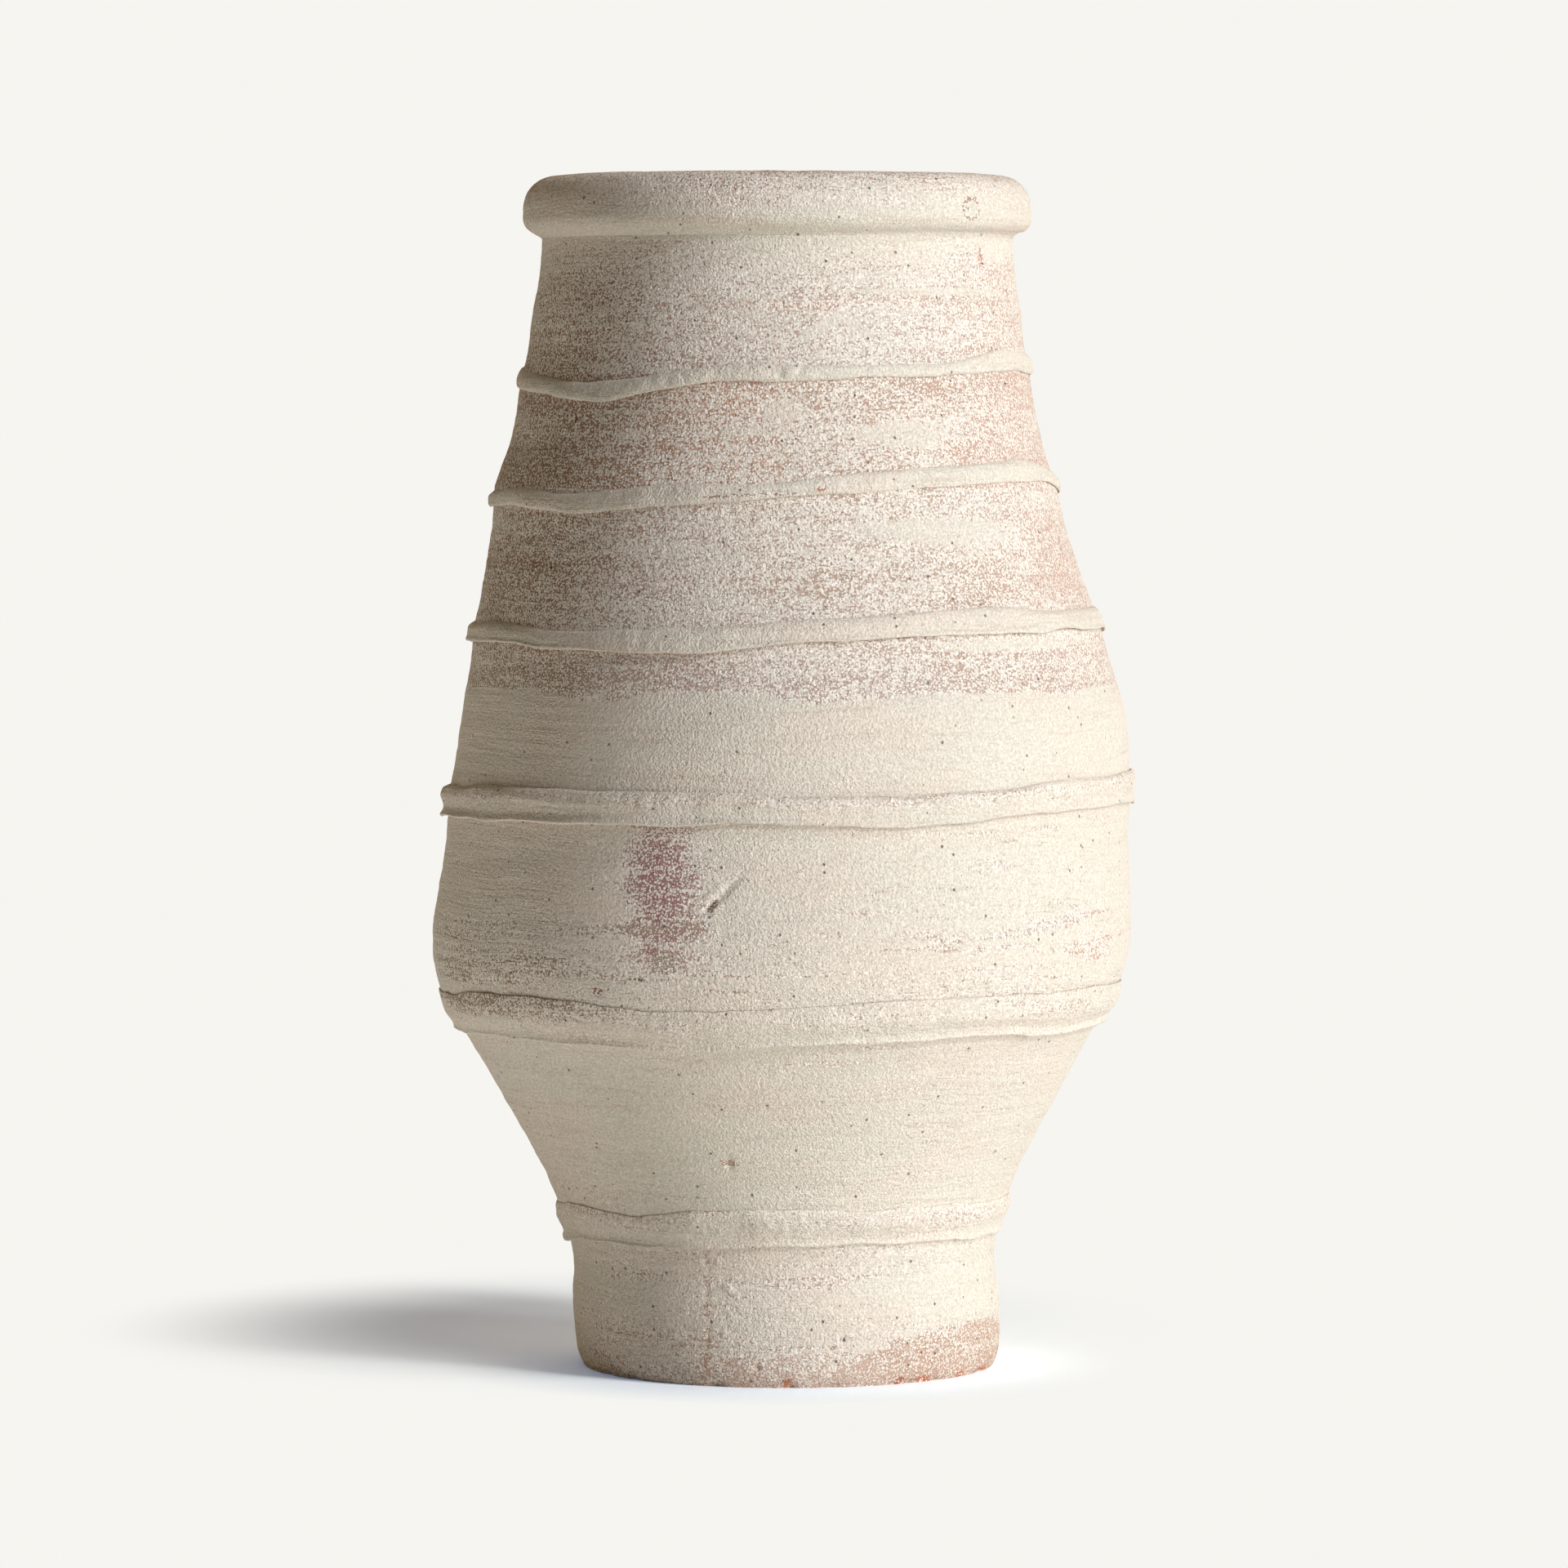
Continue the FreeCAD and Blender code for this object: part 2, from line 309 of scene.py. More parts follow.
def ragged_spot():
    """One place on the jar, of a width, a depth and a height, with a ragged border."""
    group, taken, given = new_group(
        "ragged spot",
        {
            "Vector": "Vector", "Centre": "Vector", "Turn": "Vector", "Size": "Vector",
            "Soft": "Float",
        },
        {"Mask": "Float"},
    )
    place = taken.outputs["Vector"]
    soft = taken.outputs["Soft"]
    sockets = {
        "Vector": place, "Location": taken.outputs["Centre"], "Rotation": taken.outputs["Turn"],
        "Scale": taken.outputs["Size"],
    }
    mapped = add(group, "Mapping", sockets, vector_type="TEXTURE")
    distance = add(group, "VectorMath", {0: mapped.outputs[0]}, operation="LENGTH")
    rag = sum_of(group, clouds(group, place, 110.0, 5), -0.5)
    roughness = sum_of(group, 0.25, times(group, soft, 1.1))
    level = sum_of(group, distance.outputs["Value"], times(group, rag, roughness))
    edge = sum_of(group, 1.0, soft)
    core = sum_of(group, 1.0, times(group, soft, -1.0))
    group.links.new(ease(group, level, edge, core), given.inputs["Mask"])
    return group


wipe_wander = 16 * mm
relief_unit = 1 * mm
clay_sheen = 0.2
grain_group = sandy_grain()
wipes_group = hand_wipes()
cover_group = slip_cover()
spot_group = ragged_spot()
# Dark brown of the pits: painted shade in the holes.
pit_shadow_brown = (0.16, 0.10, 0.07)
bare_brown = (0.36, 0.235, 0.165)
bare_red = (0.46, 0.27, 0.175)
smear_cream = (0.70, 0.62, 0.50)


def finish_clay(material, place, colour, slip, wipe_height):
    """Ties a clay's colour and its relief, in millimetres, to the material's matt surface."""
    tree = material.node_tree
    shader = tree.nodes["Principled BSDF"]
    shader.inputs["Specular IOR Level"].default_value = clay_sheen
    grain = use(tree, grain_group, Vector=place)
    shade = ease(tree, clouds(tree, place, 560, 3), 0.3, 0.7, 0.86, 1.14)
    toned = add(tree, "VectorMath", {0: colour, 1: shade}, operation="MULTIPLY").outputs[0]
    # Pits left by fallen grains are painted dark: painted shade in the holes.
    pits_shaded = blend(tree, times(tree, grain["Pits"], 0.75), toned, pit_shadow_brown)
    tree.links.new(pits_shaded, shader.inputs["Base Color"])
    relief = sum_of(
        tree,
        grain["Height"],
        times(tree, slip, 0.42),
        times(tree, wipe_height, 0.9),
    )
    bump = add(tree, "Bump", {"Height": relief, "Distance": relief_unit, "Strength": 1.0})
    tree.links.new(bump.outputs[0], shader.inputs["Normal"])
    rough = ease(tree, grain["Height"], 0.5, 1.0, 0.82, 0.96)
    tree.links.new(rough, shader.inputs["Roughness"])


def new_clay(name):
    """A new material, its node tree, and the place on the jar that its effects go by."""
    material = bpy.data.materials.new(name)
    material.use_nodes = True
    tree = material.node_tree
    return material, tree, add(tree, "TexCoord").outputs["Object"]


def bare_clay():
    """Fired clay without slip, brown with redder clouds and a few pale smears."""
    material, tree, place = new_clay("bare clay")
    wipes = use(tree, wipes_group, Vector=place)
    redder = ease(tree, clouds(tree, place, 16, 3), 0.35, 0.65)
    colour = blend(tree, redder, bare_brown, bare_red)
    streak = times(tree, sum_of(tree, wipes["Streak"], -0.5), 1.3)
    smear = use(tree, cover_group, Vector=place, Cover=0.05, Streak=streak)["Film"]
    colour = blend(tree, times(tree, smear, 0.6), colour, smear_cream)
    finish_clay(material, place, colour, smear, wipes["Height"])
    return material


bare_clay_material = bare_clay()
slab.data.materials.append(bare_clay_material)
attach(slab, "root")
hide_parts("floor_slab")

# The foot: the first ring of coils, set round the floor disc and pinched up into a straight wall.
# It was dipped in thin cream slip down to a ragged line and stands on its bare, chipped edge.
columns = 192
row = 9 * mm
inner_row = 27 * mm
wall_nodes = (
    "foot_wall", "lower_wall", "belly_wall", "shoulder_wall", "upper_wall", "collar_wall",
    "neck_wall",
)
weld = 0.01 * mm
wall_edge_angle = math.radians(50)
face_row = 2 * mm
face_margin = 0.001
face_depth = 12 * mm
joint_fade = 9 * mm
band_fade = 30 * mm
outside = 2 * cad_high.x
broad_flats = (110 * mm, 2.0 * mm, band_fade, 1)
coil_ridges = (16 * mm, 1.4 * mm, band_fade, 7)
wipe_marks = (6 * mm, 0.8 * mm, joint_fade, 14)


def face_ring(node, height, inside):
    """The lean and the radius of a wall's inner or outer face at a height, met by level rays."""
    met = []
    for side in (-1, 1):
        start = 0 if inside else side * outside
        toward = side if inside else -side
        met.append(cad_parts[node].ray_cast((start, 0, height), (toward, 0, 0))[1].x)
    return sum(met) / 2, (met[1] - met[0]) / 2


def measured_faces():
    """The jar's faces from the ground up: rows of height, outer lean and radius, inner ones."""
    rows = []
    for node in wall_nodes:
        low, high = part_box(node)
        count = round((high.z - low.z) / face_row)
        for share in np.linspace(face_margin, 1 - face_margin, count):
            height = low.z + (high.z - low.z) * share
            rows.append((height, *face_ring(node, height, False), *face_ring(node, height, True)))
    return np.array(rows)


faces = measured_faces()


def wall_face(height, inside=False):
    """The lean and the radius of the jar's outer or inner face at a height."""
    first = 3 if inside else 1
    lean = np.interp(height, faces[:, 0], faces[:, first])
    return lean, np.interp(height, faces[:, 0], faces[:, first + 1])


def coil_up(name, rings, sharp):
    """A closed ring of clay, drawn out through rings of a height, a lean and a radius, and back
    to the first one. The rings numbered in sharp keep a crisp edge."""
    height, lean, radius = rings[0]
    bpy.ops.object.select_all(action="DESELECT")
    bpy.ops.mesh.primitive_circle_add(vertices=columns, radius=radius)
    piece = bpy.context.object
    piece.name = piece.data.name = name
    edit(piece)
    bpy.ops.mesh.select_all(action="SELECT")
    bpy.ops.transform.translate(value=(lean, 0, height))
    bpy.ops.transform.edge_crease(value=1 if 0 in sharp else -1)
    for index in range(1, len(rings) + 1):
        old_height, old_lean, old_radius = rings[index - 1]
        height, lean, radius = rings[index % len(rings)]
        bpy.ops.mesh.extrude_region_move(
            TRANSFORM_OT_translate={"value": (lean - old_lean, 0, height - old_height)}
        )
        size = radius / old_radius
        bpy.ops.transform.resize(value=(size, size, 1), center_override=(lean, 0, height))
        bpy.ops.transform.edge_crease(value=1 if index % len(rings) in sharp else -1)
    bpy.ops.mesh.select_all(action="SELECT")
    bpy.ops.mesh.remove_doubles(threshold=weld)
    bpy.ops.mesh.normals_make_consistent(inside=False)
    done()
    apply_modifier(piece, "SUBSURF", levels=fineness, render_levels=fineness)
    return piece


def raise_wall(name, node):
    """A wall section: up its outer face, across its head and down its inner face."""
    low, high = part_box(node)
    up = np.linspace(low.z, high.z, round((high.z - low.z) / row) + 1)
    down = np.linspace(high.z, low.z, round((high.z - low.z) / inner_row) + 1)
    rings = [(height, *wall_face(height)) for height in up]
    rings += [(height, *wall_face(height, True)) for height in down]
    return coil_up(name, rings, (0, len(up) - 1, len(up), len(rings) - 1))


def away_from_joints(piece, fade):
    """How freely each vertex of a wall may give way: not at all at its two level joints."""
    heights = points_of(piece)[:, 2]
    reach = np.minimum(heights - heights.min(), heights.max() - heights) / fade
    return np.clip(reach, 0, 1)


def rough_out(piece):
    """The hand-built wall's own unevenness, from the broad flats down to the fine wipe marks."""
    for size, depth, fade, stretch in (broad_flats, coil_ridges, wipe_marks):
        unevenness(piece, size, depth, away_from_joints(piece, fade), stretch)
    bpy.ops.object.shade_smooth_by_angle(angle=wall_edge_angle)


def press(piece, turn, height, half_width, half_height, depth, tilt=0):
    """Pushes a smooth hollow into a piece's outer face, in millimetres, at a turn from the front
    towards +X. A depth below zero raises a lump, and a tilt makes it climb to the right."""
    height = height * mm
    places = points_of(piece)
    lean, radius = wall_face(height)
    sine, cosine = math.sin(math.radians(turn)), math.cos(math.radians(turn))
    across = (places[:, 0] - lean) * cosine + places[:, 1] * sine
    outward = (places[:, 0] - lean) * sine - places[:, 1] * cosine
    up = places[:, 2] - height
    climb_sine, climb_cosine = math.sin(math.radians(tilt)), math.cos(math.radians(tilt))
    along = (across * climb_cosine + up * climb_sine) / (half_width * mm)
    aside = (up * climb_cosine - across * climb_sine) / (half_height * mm)
    give = np.clip(1 - along**2 - aside**2, 0, 1) ** 2 * (outward > radius - face_depth)
    places[:, 0] -= give * (depth * mm) * sine
    places[:, 1] += give * (depth * mm) * cosine
    move_points(piece, places)


slip_cream = (0.785, 0.755, 0.675)
slip_warm = (0.80, 0.74, 0.655)
slip_cool = (0.765, 0.74, 0.655)
slip_speck = (0.97, 0.935, 0.865)
slip_stain = (0.64, 0.545, 0.445)
clay_red = (0.63, 0.40, 0.31)
clay_brown = (0.56, 0.41, 0.33)
clay_mauve = (0.59, 0.455, 0.41)
clay_inside = (0.47, 0.335, 0.25)
# Clay painted darker for the left, shade side, as partly painted shade, and paler and more orange
# for the right, lit side, as partly painted light.
shade_side_clay = (0.41, 0.27, 0.19)
lit_side_orange = (0.69, 0.48, 0.395)
spot_depth = 60 * mm
slip_wobble = 34 * mm


def spot(turn, height, half_width, half_height, gain, colour=None, soft=0.4, tilt=0):
    """A patch in a clay: its place and size, how much slip is added or lost there, the colour
    put on the clay there if it is another, how soft its border is, and its climb. Some spots
    paint shade with that colour, and some paint light."""
    lean, radius = wall_face(height * mm)
    sine, cosine = math.sin(math.radians(turn)), math.cos(math.radians(turn))
    return {
        "Centre": (lean + radius * sine, -radius * cosine, height * mm),
        "Turn": (0, -math.radians(tilt), math.radians(turn)),
        "Size": (half_width * mm, spot_depth, half_height * mm),
        "Soft": soft,
    }, gain, colour


def slipped_clay(name, node, covers, clay, spots=(), streaks=1.3):
    """Thin cream slip over fired clay. The covers are pairs: a share of the section's height,
    and how much slip lies there. The spots are rows of what spot takes."""
    material, tree, place = new_clay(name)
    low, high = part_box(node)
    wipes = use(tree, wipes_group, Vector=place)
    parts = add(tree, "SeparateXYZ", {0: place})
    wander = sum_of(tree, clouds(tree, place, 11, 3, (1, 1, 0.5)), -0.5)
    height = sum_of(tree, parts.outputs["Z"], times(tree, wander, slip_wobble))
    sockets = {"Value": height, "From Min": low.z, "From Max": high.z}
    share = add(tree, "MapRange", sockets).outputs[0]
    ramp = add(tree, "ValToRGB", {0: share})
    for index, (position, cover) in enumerate(covers):
        stop = ramp.color_ramp.elements[index] if index < 2 else ramp.color_ramp.elements.new(1)
        stop.position = position
        stop.color = opaque((cover, cover, cover))
    cover = ramp.outputs[0]
    clay_colour = blend(tree, ease(tree, clouds(tree, place, 7, 3), 0.4, 0.6), *clay)
    for mark in spots:
        settings, gain, colour = spot(*mark)
        mask = use(tree, spot_group, Vector=place, **settings)["Mask"]
        if gain:
            cover = sum_of(tree, cover, times(tree, mask, gain))
        if colour:
            clay_colour = blend(tree, mask, clay_colour, colour)
    streak = times(tree, sum_of(tree, wipes["Streak"], -0.5), streaks)
    cover = use(tree, cover_group, Vector=place, Cover=cover, Streak=streak)
    tone = clouds(tree, place, 9, 3, (1, 1, 2.2))
    slip_colour = blend(tree, ease(tree, tone, 0.42, 0.62), slip_cream, slip_warm)
    slip_colour = blend(tree, ease(tree, tone, 0.5, 0.3), slip_colour, slip_cool)
    stain = ease(tree, wipes["Streak"], 0.46, 0.37, 0.0, 0.45)
    slip_colour = blend(tree, stain, slip_colour, slip_stain)
    colour = blend(tree, cover["Film"], clay_colour, slip_colour)
    bare = ease(tree, cover["Film"], 1.0, 0.3, 0.12, 0.95)
    colour = blend(tree, times(tree, cover["Specks"], bare), colour, slip_speck)
    sockets = {0: cover["Film"], 1: cover["Specks"]}
    slip = add(tree, "Math", sockets, operation="MAXIMUM").outputs[0]
    flat = add(tree, "VectorMath", {0: place, 1: (1, 1, 0)}, operation="MULTIPLY")
    sockets = {0: flat.outputs[0], 1: add(tree, "TexCoord").outputs["Normal"]}
    facing = add(tree, "VectorMath", sockets, operation="DOT_PRODUCT")
    within = ease(tree, facing.outputs["Value"], 0.0, -0.04)
    colour = blend(tree, times(tree, within, 0.9), colour, clay_inside)
    finish_clay(material, place, colour, slip, wipes["Height"])
    return material


foot = raise_wall("foot_ring", "foot_wall")
rough_out(foot)
foot_scores = ((-20.6, 98, 13), (-21.4, 70, 12), (-20.9, 44, 15))
foot_lumps = (
    (-15.5, 75, 5), (-14.2, 72, 3.5), (-19, 101, 3.5), (-17.4, 93, 3), (-12.5, 70, 3),
    (-16.5, 40, 4),
)
foot_pits = (
    (15, 36, 4), (12, 30, 2.5), (-47, 22, 4), (-50, 18, 3), (42, 20, 3), (-8, 16, 3),
)
foot_chips = (-48, -20, 0, 12, 35, 45, 68, 100, 150, 201, 260, 300)
for turn, height, half_height in foot_scores:
    press(foot, turn, height, 4, half_height, 0.5)
for marks, depth in ((foot_lumps, -1.3), (foot_pits, 2.0)):
    for turn, height, size in marks:
        press(foot, turn, height, size, size * 0.8, depth)
for turn in foot_chips:
    press(foot, turn, 0, 9, 5, 2.5)
foot.data.materials.append(
    slipped_clay(
        "foot clay", "foot_wall",
        ((0.0, 0.4), (0.06, 0.55), (0.2, 0.78), (0.4, 0.95), (0.6, 1.05), (0.8, 0.92), (1.0, 0.8)),
        (clay_brown, clay_mauve),
        (
            (52, -10, 150, 51, -0.6, (0.61, 0.435, 0.345), 0.05, 4),
            (2, 4, 70, 24, -0.35, (0.68, 0.51, 0.43), 0.4),
            (-20.8, 70, 3, 46, -0.3, (0.60, 0.37, 0.28), 0.5),
            (-45, 78, 60, 5, -0.4, (0.55, 0.41, 0.32), 0.7, 3),
            (6, 80, 55, 5, -0.4, (0.62, 0.46, 0.41), 0.7, 2),
            (-40, 34, 60, 9, -0.3, (0.57, 0.42, 0.32), 0.7),
            # Dark fill of the two deepest pits: painted shade in the hollows.
            (15, 36, 2.5, 1.8, -1.0, (0.22, 0.14, 0.10), 0.2),
            (12, 30, 1.6, 1.4, -1.0, (0.30, 0.20, 0.15), 0.2),
            (0, 1, 4, 7, -0.7, (0.62, 0.28, 0.17), 0.2),
            (32, 2, 5, 3.5, -0.7, (0.50, 0.20, 0.12), 0.2),
            (40, 2, 8, 3.5, -0.7, (0.58, 0.23, 0.14), 0.2),
            (55, 2, 5, 4, -0.7, (0.58, 0.24, 0.14), 0.2),
            (68, 2, 8, 4, -0.7, (0.60, 0.25, 0.15), 0.2),
        ),
        2.5,
    )
)
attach(foot, "root")
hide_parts("foot_wall")

# The seam coil: a thin coil of clay pressed into the corner between the floor disc and the foot,
# to keep the joint tight. It is bare, smoothed with a finger, and seen only through the mouth.
seam_low, seam_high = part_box("floor_seam_coil")
seam_size = seam_high.z - seam_low.z
seam_section = ((0.0, 1.0), (0.45, 0.86), (0.82, 0.45))
seam_rings = [
    (seam_low.z + seam_size * climb, slab_lean, slab_radius - seam_size * inward)
    for climb, inward in seam_section
]
for height in (seam_high.z, seam_low.z):
    seam_rings.append((height, slab_lean, wall_face(height, True)[1]))
seam = coil_up("floor_seam", seam_rings, (0, 3, 4))
bpy.ops.object.shade_smooth_by_angle(angle=slab_edge_angle)
seam.data.materials.append(bare_clay_material)
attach(seam, "root")
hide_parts("floor_seam_coil")

# The cone above the foot: the steep second stage, scraped thin from outside and slipped twice, so
# it is the smoothest and palest part of the jar, with long wipe marks that climb to the right.
cone = raise_wall("cone", "lower_wall")
rough_out(cone)
press(cone, -11.3, 170, 5, 9, 1.6)
press(cone, -0.1, 243, 9, 6, -1.0)
press(cone, 2.4, 249, 6, 6, -0.9)
cone.data.materials.append(
    slipped_clay(
        "cone clay", "lower_wall",
        ((0.0, 1.0), (0.12, 1.12), (0.6, 1.2), (0.85, 1.12), (1.0, 1.03)),
        (clay_brown, clay_mauve),
        ((-11.3, 170, 3.2, 7.5, -0.8, (0.52, 0.39, 0.25), 0.2, 80),),
        2.6,
    )
)
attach(cone, "root")
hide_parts("lower_wall")

# The foot band, and how each of the five above it is made: a soft coil pressed with the fingers
# over a joint of two wall sections, to key them together. It wanders up and down as the hand
# went, and the three wide, low bands end below in a crisp lip.
band_root = 5 * mm
band_edge_angle = math.radians(60)
course_row = 1 * mm
course_steps = 96
dent_depth = 2.4 * mm
edge_wander = 3.0 * mm
edge_knots = 18
dent_knots = 26
print_knots = 70
line_octaves = 4
line_span = 1.6
dent_share = 0.3
print_strength = 0.5
lip_height = 0.5
finger_hollows = (20 * mm, 1.8 * mm, 2)
finger_prints = (6 * mm, 1.3 * mm, 1)


def band_course(node):
    """How a pressed band runs round the jar: rows of turn, middle height, half height and reach."""
    low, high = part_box(node)
    rows = []
    for turn in np.linspace(0, math.tau, course_steps + 1):
        sine, cosine = math.sin(turn), math.cos(turn)
        met = []
        for height in np.arange(low.z, high.z, course_row):
            lean, radius = wall_face(height)
            start = (lean + outside * sine, -outside * cosine, height)
            hit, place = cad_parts[node].ray_cast(
                start, (-sine, cosine, 0), distance=outside
            )[:2]
            if hit:
                met.append((height, math.hypot(place.x - lean, place.y) - radius))
        heights, reaches = zip(*met)
        foot_edge, head_edge = heights[0], heights[-1]
        middle, half = (foot_edge + head_edge) / 2, (head_edge - foot_edge) / 2
        rows.append((turn, middle, half, max(reaches)))
    return np.array(rows)


def hand_line(turns, knots, seed):
    """A line round the jar that wanders between -1 and 1 as an unsteady hand draws it, with a
    number of knots in one round and finer rounds on top."""
    chance = np.random.default_rng(seed)
    line = np.zeros_like(turns)
    for octave in range(line_octaves):
        count = knots * 2**octave
        offsets = chance.uniform(-1, 1, count)
        steps = (turns / math.tau) % 1 * count
        first = np.floor(steps).astype(int) % count
        share = steps - np.floor(steps)
        share = share * share * (3 - 2 * share)
        line += (offsets[first] * (1 - share) + offsets[(first + 1) % count] * share) / 2**octave
    return line / line_span


def press_band(name, node, shares, sharp, seed, lip_give=0.15):
    """A band with a section of shares: a climb, of half its height, and how far out that point
    stands, of its reach, or None where it is rooted in the wall. The lip_give says how freely
    its lower lip gives way to the fingers."""
    course = band_course(node)
    course_turns, course_middles, _, course_reaches = course.T
    middle, half, reach = course[:, 1:].mean(axis=0)
    lean, radius = wall_face(middle)
    rings = [
        (middle + half * climb, lean, radius + (-band_root if out is None else reach * out))
        for climb, out in shares
    ]
    piece = coil_up(name, rings, sharp)
    places = points_of(piece)
    turns = np.arctan2(places[:, 0] - lean, -places[:, 1]) % math.tau
    climbs = places[:, 2] - middle
    outs = np.hypot(places[:, 0] - lean, places[:, 1]) - radius
    heights = np.interp(turns, course_turns, course_middles) + climbs
    edge = climbs / half
    heights += edge_wander * hand_line(turns, edge_knots, seed) * np.clip(edge, 0, 1)
    heights += edge_wander * hand_line(turns, edge_knots, seed + 1) * np.clip(-edge, 0, 1)
    free = outs > 0
    outs[free] *= np.interp(turns[free], course_turns, course_reaches) / reach
    dents = np.clip(hand_line(turns, dent_knots, seed + 2) + dent_share, 0, 1)
    dents += print_strength * np.clip(hand_line(turns, print_knots, seed + 3), 0, 1)
    firm = np.clip((edge + 1.0) / lip_height, lip_give, 1)
    outs -= dent_depth * dents * np.clip(outs / reach, 0, 1) * firm
    leans, radii = wall_face(heights)
    places[:, 0] = leans + (radii + outs) * np.sin(turns)
    places[:, 1] = -(radii + outs) * np.cos(turns)
    places[:, 2] = heights
    move_points(piece, places)
    give = np.clip(outs / reach, 0, 1) * firm
    for size, depth, stretch in (finger_hollows, finger_prints):
        unevenness(piece, size, depth, give, stretch)
    bpy.ops.object.shade_smooth_by_angle(angle=band_edge_angle)
    return piece


foot_band_shares = (
    (-0.72, None), (-0.86, -0.1), (-1.0, 0.26), (-1.02, 0.5), (-0.93, 0.62), (-0.78, 0.44),
    (-0.5, 0.58), (-0.08, 0.97), (0.3, 1.0), (0.65, 0.72), (0.95, 0.3), (1.15, -0.1), (0.9, None),
)
foot_band = press_band("foot_band_coil", "foot_band", foot_band_shares, sharp=(3,), seed=10)
foot_band.data.materials.append(
    slipped_clay(
        "foot band clay", "foot_band",
        ((0.0, 1.25), (0.35, 1.15), (0.6, 0.9), (0.8, 0.7), (1.0, 0.75)),
        (clay_brown, clay_mauve),
    )
)
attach(foot_band, "root")
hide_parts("foot_band")

# The belly band: a wide band smoothed upwards into the belly, so that its upper edge is soft. Its
# lower edge was cut and overhangs the cone, with a thin dark shadow under it.
belly_band_shares = (
    (-0.7, None), (-0.86, -0.1), (-1.0, 0.36), (-1.02, 0.72), (-0.92, 0.84), (-0.74, 0.62),
    (-0.4, 0.72), (0.0, 0.98), (0.36, 0.94), (0.75, 0.72), (1.15, 0.42), (1.6, 0.14), (1.9, -0.12),
    (1.3, None),
)
belly_band = press_band("belly_band_coil", "belly_band", belly_band_shares, sharp=(3,), seed=20)
belly_band.data.materials.append(
    slipped_clay(
        "belly band clay", "belly_band",
        ((0.0, 1.1), (0.4, 1.05), (0.62, 0.9), (0.8, 0.78), (1.0, 0.9)),
        (clay_brown, clay_brown),
        (
            # Broad darker brown on the left, shade side: partly brown streaks, partly painted
            # shade.
            (-60, 287, 130, 9, -0.6, (0.40, 0.30, 0.23), 0.8),
            (-30.6, 297, 4, 3.5, -0.6, (0.33, 0.20, 0.15), 0.3),
        ),
        2.0,
    )
)
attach(belly_band, "root")
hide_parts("belly_band")

# The belly: the widest stage, beaten out from within while it was soft. Its slip is streaked by
# the hand, with a purple fire mark, a deep gouge and brown spots where it has worn through.
belly = raise_wall("belly", "belly_wall")
rough_out(belly)
press(belly, -9.6, 374.5, 23, 3.6, 2.6, 47)
press(belly, -12.0, 364, 9, 4.0, 3.0, 50)
press(belly, -10.9, 362.5, 7, 3.6, -1.6, 45)
press(belly, -12.2, 371.5, 9, 3.2, -1.1, 47)
belly.data.materials.append(
    slipped_clay(
        "belly clay", "belly_wall",
        ((0.0, 0.75), (0.1, 0.85), (0.25, 0.9), (0.5, 1.02), (0.8, 1.05), (0.93, 1.0), (1.0, 0.9)),
        (clay_brown, clay_mauve),
        (
            (-20.5, 372, 40, 66, -0.3, (0.54, 0.41, 0.36), 0.7),
            (-20.6, 378, 26, 52, -0.55, (0.43, 0.245, 0.235), 0.6),
            (-18.5, 321, 10, 7, -0.22, (0.44, 0.38, 0.31), 0.8),
            # Dark fill of the gouge: painted shade in the slot.
            (-11.6, 364, 6, 2.4, -0.6, (0.42, 0.28, 0.21), 0.4, 45),
            (-13, 352, 18, 4, -0.3, (0.46, 0.33, 0.28), 0.7, 48),
            (-30.6, 300, 4, 4, -0.6, (0.33, 0.20, 0.15), 0.3),
            # Thin dark line of a crack: painted shade, with no groove in the shape.
            (-23.3, 309.6, 7, 1.0, -0.8, (0.25, 0.17, 0.12), 0.3),
            (-28, 345, 60, 4, -0.3, (0.45, 0.34, 0.28), 0.7, 4),
            (62, 325, 34, 13, -0.4, (0.66, 0.42, 0.35), 0.5),
            # Broad darker brown on the left, shade side: partly brown streaks, partly painted
            # shade.
            (-62, 334, 95, 17, -0.36, (0.46, 0.36, 0.27), 0.8, 2),
            (-58, 306, 120, 8, -0.42, (0.40, 0.31, 0.235), 0.8, 2),
            (-50, 319, 70, 3.5, -0.4, (0.42, 0.32, 0.25), 0.8, 3),
            (35, 392, 24, 8, -0.3, None, 0.6),
            (24, 340, 26, 9, -0.3, None, 0.6),
            (55, 350, 70, 6, -0.3, clay_mauve, 0.6, 6),
        ),
        2.4,
    )
)
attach(belly, "root")
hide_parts("belly_wall")

# The middle band: the thickest one, over the joint at half height. Its upper half is a sandy
# brown ridge, and the wet slip below it was drawn down into a pale skirt with a crisp lip.
middle_band_shares = (
    (-0.8, None), (-0.92, 0.0), (-1.02, 0.4), (-0.94, 0.7), (-0.74, 0.66), (-0.45, 0.46),
    (-0.15, 0.66), (0.2, 0.96), (0.55, 1.0), (0.85, 0.78), (0.98, 0.3), (1.0, -0.12), (0.86, None),
)
middle_band = press_band(
    "middle_band_coil", "middle_band", middle_band_shares, sharp=(2, 9), seed=30
)
middle_band.data.materials.append(
    slipped_clay(
        "middle band clay", "middle_band",
        ((0.0, 1.2), (0.38, 1.1), (0.52, 0.85), (0.7, 0.72), (1.0, 0.9)),
        (clay_brown, clay_brown),
    )
)
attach(middle_band, "root")
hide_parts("middle_band")

